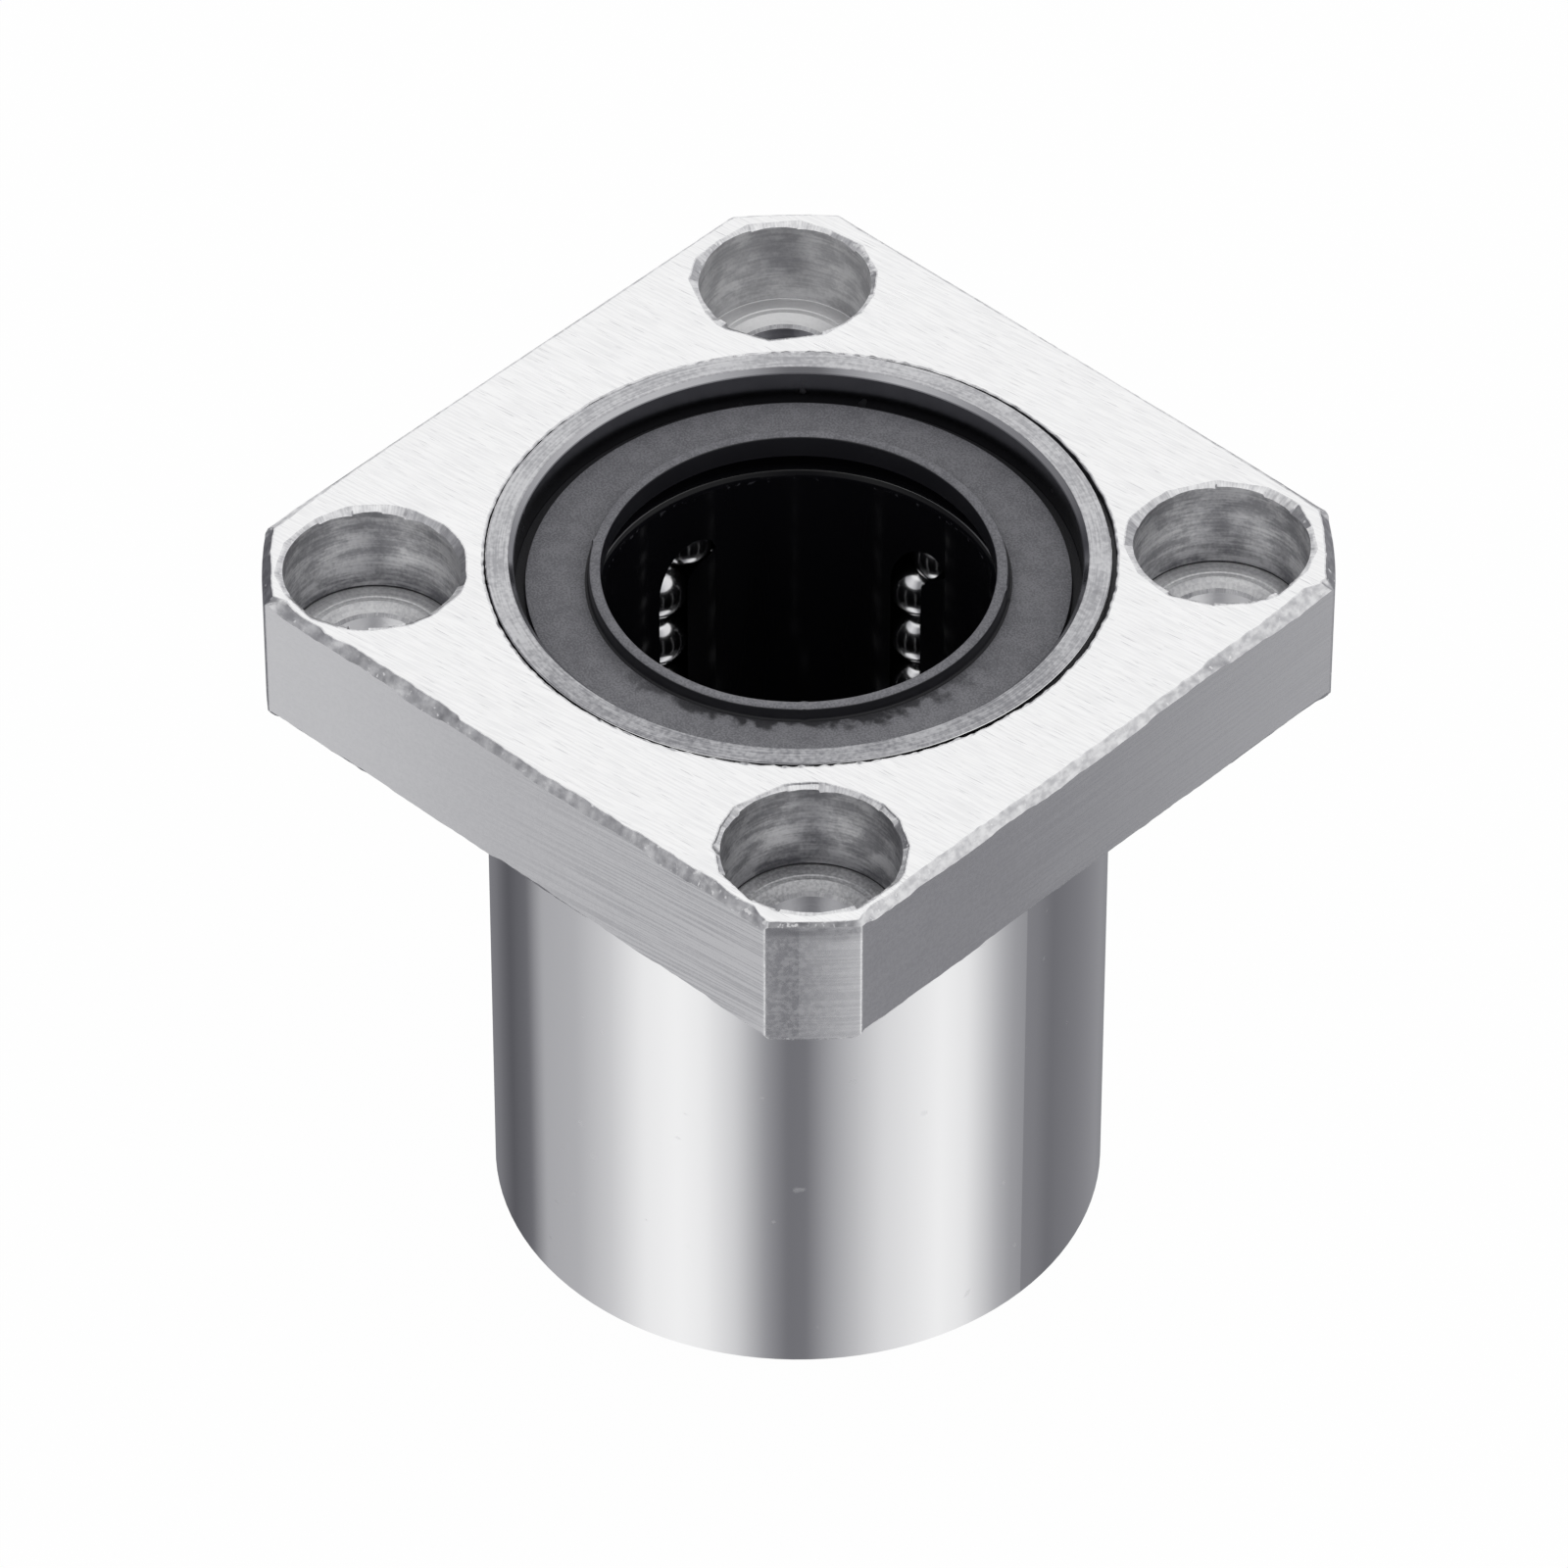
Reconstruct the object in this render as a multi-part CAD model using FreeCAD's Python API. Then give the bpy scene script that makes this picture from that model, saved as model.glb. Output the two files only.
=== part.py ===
import FreeCAD, Part
import math
import os

# Square flange linear bearing, in millimetres.
# +Z runs along the shaft bore towards the flange, and the origin is at the middle of the sleeve's free end,
# on which the bearing stands. The flange's sides run along X and Y.

# Shaft, balls and their circuits
shaft_diameter = 20.0
ball_diameter = 3.175
ball_gap = 0.025
circuit_count = 5
first_row_angle = 28.7
row_leads = (2.1, 0.85, 0.4, 1.6, 2.7)
track_clearance = 0.075
raceway_clearance = 0.025

# Sleeve
sleeve_length = 42.0
sleeve_wall = 2.8
flange_seat_step = 0.18
sleeve_flange_end_break = 0.05
sleeve_free_end_break = 0.5
mouth_break = 0.28
seat_step = 0.25
raceway_entry = 1.0
raceway_ramp = 0.8
relief_clearance = 0.05

# Seals
lip_depth = 0.9
lip_tip_thickness = 0.58
lip_root_thickness = 0.8
lip_wall_height = 1.15
seal_face_depth = 1.7
seal_thickness = 0.8
seal_rim_width = 0.55
seal_rim_depth = 0.45
seal_throat_gap = 0.95
seal_throat_land = 0.3

# End rings that hold the cage
end_ring_thickness = 0.8
end_ring_width = 2.75
end_ring_bite = 0.35
end_ring_clearance = 0.05

# Cage
cage_shaft_gap = 0.25
cage_raceway_gap = 0.15
cage_mouth_rounding = 0.5
cage_outer_chamfer = 0.3
cage_end_wall = 2.0

# Flange
flange_rim = 5.0
flange_thickness = 8.0
flange_setback = 0.05
flange_edge_break = 0.5
flange_corner_break = 0.2
flange_bore_lower_break = 0.1
flange_bore_upper_break = 0.2
corner_margin = 5.6
bolt_circle_margin = 5.5
bolt_count = 4
bolt_hole_diameter = 5.5
bolt_hole_lower_break = 0.35
bolt_hole_floor_break = 0.6
counterbore_diameter = 9.0
counterbore_depth = 5.1
counterbore_rim_break = 0.35

Z = FreeCAD.Vector(0, 0, 1)

# The loaded balls roll between the shaft and the raceway. At each end of its straight, a circuit turns through
# two balls a right angle apart, which sets the radius of the turn. The whole circuit lies in the plane that
# touches the loaded row, so the balls lift off the shaft as they turn, and come back further out.
ball_radius = ball_diameter / 2
ball_pitch = ball_diameter + ball_gap
shaft_radius = shaft_diameter / 2
row_radius = shaft_radius + ball_radius
turn_radius = ball_pitch / math.sqrt(2)
row_spacing = 2 * turn_radius
track_radius = ball_radius + track_clearance
raceway_radius = row_radius + ball_radius + raceway_clearance
return_radius = math.hypot(row_radius, row_spacing)
relief_radius = return_radius + track_radius + relief_clearance
sleeve_radius = raceway_radius + sleeve_wall
flange_seat_radius = sleeve_radius - flange_seat_step
seat_radius = relief_radius + seat_step

# Depths are measured from an end of the sleeve
seal_back_depth = seal_face_depth + seal_thickness
cage_depth = seal_back_depth + end_ring_thickness
turn_room = cage_depth + cage_end_wall + track_radius + turn_radius
balls_per_row = int((sleeve_length - 2 * turn_room) / ball_pitch)
straight_length = balls_per_row * ball_pitch
straight_depth = (sleeve_length - straight_length) / 2
straight_bottom = straight_depth
straight_top = sleeve_length - straight_depth

cage_bore_radius = shaft_radius + cage_shaft_gap
cage_radius = raceway_radius - cage_raceway_gap
seal_throat_radius = shaft_radius + seal_throat_gap

flange_half_side = sleeve_radius + flange_rim
bolt_circle_radius = sleeve_radius + bolt_circle_margin
flange_corner_radius = bolt_circle_radius + corner_margin
flange_top = sleeve_length - flange_setback
flange_bottom = flange_top - flange_thickness
bolt_radius = bolt_hole_diameter / 2
counterbore_radius = counterbore_diameter / 2
counterbore_floor = flange_top - counterbore_depth


def turned(profile):
    """A solid of revolution about Z, from its section as (radius, height) points."""
    corners = [FreeCAD.Vector(radius, 0, height) for radius, height in profile]
    section = Part.Face(Part.makePolygon(corners + corners[:1]))
    return section.revolve(FreeCAD.Vector(), Z, 360)


def from_end(profile, end):
    """A section given by its depths, set at the upper or the lower end of the sleeve."""
    if end == "upper":
        return [(radius, sleeve_length - depth) for radius, depth in profile]
    return profile


def circuit_angle(circuit):
    return first_row_angle + circuit * 360 / circuit_count


def in_circuit(shape, circuit):
    """Turns a shape made at the circuit on +X to its own place around the bore."""
    placed = shape.copy()
    placed.rotate(FreeCAD.Vector(), Z, circuit_angle(circuit))
    return placed


def outer_sleeve():
    # One end of the bore, from the mouth inwards: the seat of the seal, the groove of the end ring, the relief
    # where the balls turn, and the ramp down to the raceway.
    raceway_depth = straight_depth + raceway_entry
    groove_radius = seat_radius + end_ring_bite + end_ring_clearance
    bore_end = [
        (seat_radius + mouth_break, 0),
        (seat_radius, mouth_break),
        (seat_radius, seal_back_depth),
        (groove_radius, seal_back_depth),
        (groove_radius, cage_depth),
        (relief_radius, cage_depth),
        (relief_radius, raceway_depth - raceway_ramp),
        (raceway_radius, raceway_depth),
    ]
    # The flange is pressed on from its own end of the sleeve until its broken edge meets a small sloping shoulder.
    shoulder = flange_bottom + flange_bore_lower_break
    outside = [
        (sleeve_radius - sleeve_free_end_break, 0),
        (sleeve_radius, sleeve_free_end_break),
        (sleeve_radius, shoulder),
        (flange_seat_radius, shoulder + flange_seat_step),
        (flange_seat_radius, sleeve_length - sleeve_flange_end_break),
        (flange_seat_radius - sleeve_flange_end_break, sleeve_length),
    ]
    sleeve = turned(outside + from_end(bore_end, "upper") + bore_end[::-1])
    groove = Part.makeCylinder(
        track_radius, sleeve_length - 2 * cage_depth, FreeCAD.Vector(row_radius, -row_spacing, cage_depth), Z)
    return sleeve.cut([in_circuit(groove, circuit) for circuit in range(circuit_count)])


def ball_track():
    """The room that one circuit takes in the cage: a U section, open outwards, led round the whole circuit."""
    reach = cage_radius - row_radius + cage_raceway_gap
    outer_edge = row_radius + reach
    right_side = FreeCAD.Vector(row_radius, track_radius, straight_bottom)
    left_side = FreeCAD.Vector(row_radius, -track_radius, straight_bottom)
    floor = FreeCAD.Vector(row_radius - track_radius, 0, straight_bottom)
    right_rim = FreeCAD.Vector(outer_edge, track_radius, straight_bottom)
    left_rim = FreeCAD.Vector(outer_edge, -track_radius, straight_bottom)
    section = Part.Face(Part.Wire([
        Part.Arc(right_side, floor, left_side).toShape(),
        Part.makeLine(left_side, left_rim),
        Part.makeLine(left_rim, right_rim),
        Part.makeLine(right_rim, right_side),
    ]))
    loaded = section.extrude(Z * straight_length)
    returning = loaded.translated(FreeCAD.Vector(0, -row_spacing, 0))
    outwards = FreeCAD.Vector(1, 0, 0)
    lower_centre = FreeCAD.Vector(row_radius, -turn_radius, straight_bottom)
    upper_centre = FreeCAD.Vector(row_radius, -turn_radius, straight_top)
    lower_turn = section.revolve(lower_centre, outwards, -180)
    upper_turn = section.translated(Z * straight_length).revolve(upper_centre, outwards, 180)
    return loaded.multiFuse([returning, lower_turn, upper_turn]).removeSplitter()


def ball_cage():
    end = [
        (cage_radius, cage_depth + cage_outer_chamfer),
        (cage_radius - cage_outer_chamfer, cage_depth),
        (cage_bore_radius, cage_depth),
    ]
    blank = turned(end + from_end(end[::-1], "upper"))
    mouths = [edge for edge in blank.Edges
              if isinstance(edge.Curve, Part.Circle) and abs(edge.Curve.Radius - cage_bore_radius) < 1e-6]
    blank = blank.makeFillet(cage_mouth_rounding, mouths)
    track = ball_track()
    return blank.cut([in_circuit(track, circuit) for circuit in range(circuit_count)])


def seal(end):
    face_radius = seat_radius - seal_rim_width
    lip_edge_depth = lip_depth + lip_wall_height
    return turned(from_end([
        (shaft_radius, lip_depth),
        (shaft_radius + lip_tip_thickness, lip_depth),
        (shaft_radius + lip_root_thickness, seal_face_depth),
        (face_radius, seal_face_depth),
        (face_radius, seal_face_depth + seal_rim_depth),
        (seat_radius, seal_face_depth + seal_rim_depth),
        (seat_radius, seal_back_depth),
        (seal_throat_radius, seal_back_depth),
        (seal_throat_radius, seal_back_depth - seal_throat_land),
        (shaft_radius, lip_edge_depth),
    ], end))


def end_ring(end):
    ring_radius = seat_radius + end_ring_bite
    ring_bore_radius = ring_radius - end_ring_width
    return turned(from_end([
        (ring_bore_radius, seal_back_depth),
        (ring_radius, seal_back_depth),
        (ring_radius, cage_depth),
        (ring_bore_radius, cage_depth),
    ], end))


def counterbored_hole():
    """What one bolt hole takes out of the flange, with its broken edges run on past both faces."""
    overrun = 1.0
    return turned([
        (0, flange_bottom - overrun),
        (bolt_radius + bolt_hole_lower_break + overrun, flange_bottom - overrun),
        (bolt_radius, flange_bottom + bolt_hole_lower_break),
        (bolt_radius, counterbore_floor - bolt_hole_floor_break),
        (bolt_radius + bolt_hole_floor_break, counterbore_floor),
        (counterbore_radius, counterbore_floor),
        (counterbore_radius, flange_top - counterbore_rim_break),
        (counterbore_radius + counterbore_rim_break + overrun, flange_top + overrun),
        (0, flange_top + overrun),
    ])


def flange_plate():
    # A turned disc with four sides milled off, so its corners are arcs of the disc.
    disc = Part.makeCylinder(flange_corner_radius, flange_thickness, Z * flange_bottom, Z)
    side = 2 * flange_half_side
    corner = FreeCAD.Vector(-flange_half_side, -flange_half_side, flange_bottom)
    plate = disc.common(Part.makeBox(side, side, flange_thickness, corner))
    upright = [edge for edge in plate.Edges if abs(edge.tangentAt(edge.FirstParameter).z) > 0.9]
    plate = plate.makeChamfer(flange_corner_break, upright)
    outline = [edge for edge in plate.Edges if abs(edge.BoundBox.ZLength) < 1e-6]
    plate = plate.makeChamfer(flange_edge_break, outline)
    overrun = 1.0
    bore = turned([
        (0, flange_bottom - overrun),
        (sleeve_radius + flange_bore_lower_break + overrun, flange_bottom - overrun),
        (flange_seat_radius, flange_bottom + flange_bore_lower_break + flange_seat_step),
        (flange_seat_radius, flange_top - flange_bore_upper_break),
        (flange_seat_radius + flange_bore_upper_break + overrun, flange_top + overrun),
        (0, flange_top + overrun),
    ])
    cuts = [bore]
    for bolt in range(bolt_count):
        hole = counterbored_hole()
        hole.translate(FreeCAD.Vector(bolt_circle_radius, 0, 0))
        hole.rotate(FreeCAD.Vector(), Z, (bolt + 0.5) * 360 / bolt_count)
        cuts.append(hole)
    return plate.cut(cuts)


def ball(across, height):
    """One ball in the circuit on +X, at a distance across from the loaded row towards the return row."""
    return Part.makeSphere(ball_radius, FreeCAD.Vector(row_radius, -across, height))


def turn_balls(height, start_angle):
    balls = []
    for step in range(2):
        angle = start_angle + step * math.pi / 2
        balls.append(ball(turn_radius * (1 - math.cos(angle)), height + turn_radius * math.sin(angle)))
    return balls


def ball_groups(row_lead):
    """The balls of one circuit, by the stretch of the track that they stand in."""
    # Each circuit has rolled on by its own amount, and is evenly filled: the turn balls follow the loaded row's top
    # ball.
    lead_angle = (1 - row_lead / ball_pitch) * math.pi / 2
    loaded_heights = [straight_top - row_lead - step * ball_pitch for step in range(balls_per_row)]
    return_heights = [straight_bottom + row_lead + step * ball_pitch for step in range(balls_per_row)]
    return {
        "loaded_balls": [ball(0, height) for height in loaded_heights],
        "return_balls": [ball(row_spacing, height) for height in return_heights],
        "upper_turn_balls": turn_balls(straight_top, lead_angle),
        "lower_turn_balls": turn_balls(straight_bottom, math.pi + lead_angle),
    }


pieces = {
    "flange_plate": flange_plate(),
    "outer_sleeve": outer_sleeve(),
    "ball_cage": ball_cage(),
}
for end in ("upper", "lower"):
    pieces[end + "_seal"] = seal(end)
    pieces[end + "_end_ring"] = end_ring(end)
for circuit in range(circuit_count):
    for name, balls in ball_groups(row_leads[circuit]).items():
        group = Part.makeCompound([in_circuit(item, circuit) for item in balls])
        pieces["circuit_%d_%s" % (circuit + 1, name)] = group

os.makedirs("parts", exist_ok=True)
for name, shape in pieces.items():
    shape.exportStep("parts/" + name + ".step")
    print(name, len(shape.Solids), "valid" if shape.isValid() else "NOT VALID", round(shape.Volume, 2))
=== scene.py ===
import bmesh
import bpy
import math
from mathutils import Matrix, Vector, noise


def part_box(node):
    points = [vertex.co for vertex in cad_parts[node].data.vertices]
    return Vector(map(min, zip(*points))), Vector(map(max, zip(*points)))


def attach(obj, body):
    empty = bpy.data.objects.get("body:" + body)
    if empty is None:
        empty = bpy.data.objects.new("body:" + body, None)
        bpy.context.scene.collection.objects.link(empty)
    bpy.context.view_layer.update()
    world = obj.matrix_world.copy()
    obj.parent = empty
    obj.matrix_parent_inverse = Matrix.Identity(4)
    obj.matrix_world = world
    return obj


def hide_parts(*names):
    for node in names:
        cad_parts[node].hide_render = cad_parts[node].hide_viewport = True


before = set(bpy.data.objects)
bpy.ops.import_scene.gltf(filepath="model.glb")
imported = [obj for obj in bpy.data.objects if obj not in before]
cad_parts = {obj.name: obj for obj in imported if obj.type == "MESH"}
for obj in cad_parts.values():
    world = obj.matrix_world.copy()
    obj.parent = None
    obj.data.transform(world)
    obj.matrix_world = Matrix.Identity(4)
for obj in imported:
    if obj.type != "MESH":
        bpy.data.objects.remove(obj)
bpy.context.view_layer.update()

# Outer sleeve. A tube of bearing steel, turned, hardened and ground. Its outside is ground round and
# polished, so it mirrors the studio in upright bands. Its end is faced flat, with fine rings of tool marks,
# and is painted darker towards the front, a painted shade. Its mouth chamfer and its bore are painted
# darker still, a painted shade.
mm = 0.001
up = (0, 0, 1)
to_front_corner = (0.69, -0.72, 0)


class Shade:
    """A shader socket that adds and multiplies like a number, so that a finish reads as an expression."""

    def __init__(self, tree, socket=None):
        self.tree = tree
        self.socket = socket

    def node(self, kind, settings=None, sockets=None, output=0):
        """Adds a node of this kind: its settings first, then the values or links of its sockets."""
        made = self.tree.nodes.new("ShaderNode" + kind)
        for setting, value in (settings or {}).items():
            if setting == "stops":
                ramp = made.color_ramp
                while len(ramp.elements) < len(value):
                    ramp.elements.new(0.5)
                for element, (position, level) in zip(ramp.elements, value):
                    element.position = position
                    element.color = grey(level)
            else:
                setattr(made, setting, value)
        for name, value in (sockets or {}).items():
            if isinstance(value, Shade):
                self.tree.links.new(value.socket, made.inputs[name])
            else:
                made.inputs[name].default_value = value
        return Shade(self.tree, made.outputs[output] if len(made.outputs) else None)

    def math(self, operation, first, second=0.0):
        return self.node("Math", {"operation": operation}, {0: first, 1: second})

    def __add__(self, other):
        return self.math("ADD", self, other)

    def __sub__(self, other):
        return self.math("SUBTRACT", self, other)

    def __rsub__(self, other):
        return self.math("SUBTRACT", other, self)

    def __mul__(self, other):
        return self.math("MULTIPLY", self, other)

    def __truediv__(self, other):
        return self.math("DIVIDE", self, other)

    def __gt__(self, other):
        return self.math("GREATER_THAN", self, other)

    __radd__ = __add__
    __rmul__ = __mul__


def new_finish(name):
    """An empty material, the start of its shader, and the place on the piece in the row frame."""
    material = bpy.data.materials.new(name)
    material.use_nodes = True
    material.node_tree.nodes.clear()
    shade = Shade(material.node_tree)
    return material, shade, shade.node("TexCoord", output="Object")


def surface(shade, **sockets):
    """The finish's surface, with its sockets named by words joined with underscores."""
    named = {name.replace("_", " "): value for name, value in sockets.items()}
    shader = shade.node("BsdfPrincipled", {}, named)
    shade.node("OutputMaterial", {}, {"Surface": shader})


def along(place, direction):
    """How far a place lies along a direction."""
    return place.node("VectorMath", {"operation": "DOT_PRODUCT"}, {0: place, 1: direction}, "Value")


def stretched(place, x, y, z):
    """A place with each axis in features per metre, for a noise that runs longer one way."""
    return place.node("VectorMath", {"operation": "MULTIPLY"}, {0: place, 1: (x, y, z)})


def grain(place, scale=1.0, detail=2.0):
    return place.node("TexNoise", {}, {"Vector": place, "Scale": scale, "Detail": detail}, "Fac")


def step_up(value, low, high):
    """0 below low and 1 above high, with a soft step between."""
    ends = {"Value": value, "From Min": low, "From Max": high}
    return value.node("MapRange", {"interpolation_type": "SMOOTHSTEP"}, ends)


def tint(factor, first, second):
    """Goes from the first colour to the second, as the factor goes from 0 to 1."""
    ends = {"Factor": factor, 6: first, 7: second}
    return factor.node("Mix", {"data_type": "RGBA"}, ends, 2)


def grey(level):
    """A cool grey, as steel and black rubber are, but white stays white."""
    return (level, level, level ** 0.95, 1)


def tint_between(factor, dark, light):
    return tint(factor, grey(dark), grey(light))


def bumped(height, distance):
    return height.node("Bump", {}, {"Height": height, "Distance": distance})


def flat_radius(place):
    """The distance from the shaft's axis."""
    level = stretched(place, 1, 1, 0)
    return level.node("VectorMath", {"operation": "LENGTH"}, {0: level}, "Value")


sleeve_low, sleeve_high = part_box("outer_sleeve")
sleeve_top = sleeve_high.z
sleeve_bore = 14.43 * mm
mouth_edge = 15.2 * mm

ground_steel, shade, place = new_finish("ground_steel")
rings = grain(stretched(place, 60, 60, 9000), detail=3.0)
radius = flat_radius(place)
height = along(place, up)
end_face = step_up(height, sleeve_top - 0.03 * mm, sleeve_top - 0.02 * mm)
ring_place = shade.node("CombineXYZ", {}, {"X": radius * 8200, "Y": along(place, (420, 0, 0))})
turned = grain(ring_place, detail=2.0)
mottle = grain(place, 4300, 2.0)
patches = grain(place, 330, 2.0)
face_marks = step_up(turned * 0.42 + mottle * 0.33 + patches * 0.25, 0.38, 0.62)
# Painted shade: the end face is painted darker towards the front corner.
front_painted_shade = step_up(along(place, to_front_corner), 1.0 * mm, 15.0 * mm)
end_marks_grey = tint_between(face_marks, 0.40, 0.64)
end_grey = tint(front_painted_shade, end_marks_grey, tint_between(face_marks, 0.23, 0.50))
in_bore = 1 - step_up(radius, sleeve_bore, sleeve_bore + 0.03 * mm)
specks = step_up(grain(place, 900, 1.0), 0.74, 0.78)
in_mouth = 1 - step_up(radius, mouth_edge, mouth_edge + 0.1 * mm)
# Painted shade: the mouth chamfer is painted mid-grey and the bore dark grey.
side_grey_with_painted_shade = tint(in_bore, tint_between(in_mouth, 0.92, 0.54), grey(0.24))
surface(
    shade,
    Base_Color=tint(end_face, side_grey_with_painted_shade, end_grey),
    Metallic=1.0,
    Roughness=0.09 + 0.22 * end_face + 0.2 * specks + 0.15 * in_bore,
    Normal=bumped(rings * (1 - end_face) + 4 * face_marks * end_face, 0.0004 * mm),
)
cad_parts["outer_sleeve"].data.materials.clear()
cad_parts["outer_sleeve"].data.materials.append(ground_steel)

# Flange. A square plate cut from a turned steel disc, so its corners are arcs of the disc. Its top is
# ground, its four sides are milled, its edges are broken by hand, and it is pressed on the sleeve with a thin
# gap at the top.
flange_low, flange_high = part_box("flange_plate")
half_side = flange_high.x
flange_top = flange_high.z
flange_bottom = flange_low.z
upright_rounding = 0.02 * mm
upright_break = 0.035 * mm
corner_reach = 27.1 * mm
front_corner_reach = 27.42 * mm
stroke_run = 0.6 * mm
edge_land = 0.07 * mm
edge_burr = 0.05 * mm
edge_wave = 0.035 * mm
fine_stride = 0.05 * mm
long_stride = 0.16 * mm
to_right_corner = (0.725, 0.689, 0)
bore_radius = 15.825 * mm
bolt_offset = 15.203 * mm
counterbore_radius = 4.5 * mm
counterbore_floor = 36.85 * mm
bolt_radius = 2.75 * mm
front_right = math.radians(43.5)
front = math.radians(-46.5)


def ripple(point, period, seed):
    """A smooth random height from -1 to 1, with waves about as long as the period."""
    return noise.noise(Vector((point.x / period, point.y / period, seed)))


def facing_front(turned):
    """1 at the front corner, 0 at the left and right corners and -1 at the back corner."""
    return math.cos(turned + math.pi / 4)


def corner_radius(turned):
    """The front corner stands a little further out than the others, so it is narrower."""
    return front_corner_reach if facing_front(turned) > 0.6 else corner_reach


def past_upright(turned):
    """How far the disc's edge stands inside the square here: more than 0 on a corner, less on a side."""
    return half_side / max(abs(math.cos(turned)), abs(math.sin(turned))) - corner_radius(turned)


def edge_distance(turned, inset):
    """How far the outline is from the axis, with its sides and corners drawn in by the inset."""
    flat = (half_side - inset) / max(abs(math.cos(turned)), abs(math.sin(turned)))
    arc = corner_radius(turned) - inset
    return min(flat, arc) - upright_rounding * math.log(1 + math.exp(-abs(flat - arc) / upright_rounding))


def around(turned, distance, height=0.0):
    return Vector((distance * math.cos(turned), distance * math.sin(turned), height))


def file_stroke(reach, stroke, seed):
    """A random share from 0 to 1, level along each stroke of the file, with a short run between strokes."""
    number = math.floor(reach / stroke)
    last = noise.cell(Vector((number + seed, seed, 0)))
    this = noise.cell(Vector((number + 1 + seed, seed, 0)))
    return last + (this - last) * min((reach - number * stroke) / stroke_run, 1)


def edge_widths(plan, seed, stroke, unevenness):
    """The width of a filed edge all round the outline, file stroke by file stroke."""
    widths = []
    for turned in outline_turns:
        point = around(turned, edge_distance(turned, 0))
        share = min(max(past_upright(turned) / (0.3 * mm) + 0.5, 0), 1)
        on_side, on_corner = plan(facing_front(turned))
        reach = point.x - point.y if abs(point.x) > abs(point.y) else point.x + point.y
        wander = 0.36 * (1 - share) * (file_stroke(reach, stroke, seed) - 0.5)
        wander += 0.1 * ripple(point, 6 * mm, seed) + 0.12 * ripple(point, 1.4 * mm, seed + 5)
        wander += 0.12 * ripple(point, 0.4 * mm, seed + 9)
        widths.append((on_side + (on_corner - on_side) * share) * (1 + unevenness * wander) * mm)
    return widths


def beside_corner(facing):
    """1 where a front side meets the left or right corner, down to 0 about 4 mm along the side."""
    return min(max(1 - (facing - 0.1) / 0.15, 0), 1)


def top_edge_width(facing):
    """Side and corner: broad on the front sides and the side corners, and hardly any behind."""
    on_side = 0.07 + 0.28 * math.exp(min(facing + 0.1, 0) / 0.12)
    if facing > 0:
        on_side = 0.52 + 0.33 * beside_corner(facing)
    return on_side, 0.17 if facing > 0.6 else 0.48 if facing > -0.6 else 0.08


def top_edge_drop(facing):
    on_side, on_corner = top_edge_width(facing)
    return (0.95 - 0.4 * beside_corner(facing)) * on_side, 1.35 * on_corner


def foot_width(facing):
    """The foot is filed alike all round."""
    return 0.6, 0.3


def foot_rise(facing):
    return 0.68, 0.36


def outline_loop(mesh, insets, heights):
    loop = []
    for turned, inset, height in zip(outline_turns, insets, heights):
        loop.append(mesh.verts.new(around(turned, edge_distance(turned, inset), height)))
    return loop


def circle_loop(mesh, centre, radii, heights):
    """A loop of points round a centre, with a radius and a height for each."""
    steps = len(radii)
    turns = [step * 2 * math.pi / steps for step in range(steps)]
    return [mesh.verts.new(centre + around(*place)) for place in zip(turns, radii, heights)]


def band(mesh, first, second, finish):
    """Joins two loops with faces. The finish is a slot's number, or a list with one for each face."""
    for step in range(len(first)):
        following = (step + 1) % len(first)
        face = mesh.faces.new((first[step], first[following], second[following], second[step]))
        face.material_index = finish[step] if isinstance(finish, list) else finish
        face.smooth = True


def loop_edges(mesh, loop):
    return [mesh.edges.get((loop[step - 1], loop[step])) for step in range(len(loop))]


def finished_piece(name, mesh, finishes, crease):
    """Turns a closed bmesh into an object, smooth except where the finish changes or the angle is sharp."""
    bmesh.ops.recalc_face_normals(mesh, faces=mesh.faces)
    for edge in mesh.edges:
        first, second = edge.link_faces
        alike = first.material_index == second.material_index
        edge.smooth = alike and edge.calc_face_angle() < math.radians(crease)
    shape = bpy.data.meshes.new(name)
    mesh.to_mesh(shape)
    mesh.free()
    for finish in finishes:
        shape.materials.append(finish)
    piece = bpy.data.objects.new(name, shape)
    bpy.context.scene.collection.objects.link(piece)
    return piece


ground_face, milled_side, turned_corner, filed_edge, counterbore, crevice = range(6)

outline_turns = []
turned = 0.0
while turned < 2 * math.pi:
    outline_turns.append(turned)
    beyond = past_upright(turned)
    stride = fine_stride if abs(beyond) < 0.25 * mm else long_stride
    if beyond < 0:
        stride *= max(abs(math.cos(turned)), abs(math.sin(turned)))
    turned += stride / edge_distance(turned, 0)
side_finishes = []
for turned in outline_turns:
    beyond = past_upright(turned)
    flat_finish = turned_corner if beyond > 0 else milled_side
    side_finishes.append(filed_edge if abs(beyond) < upright_break else flat_finish)

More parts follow.
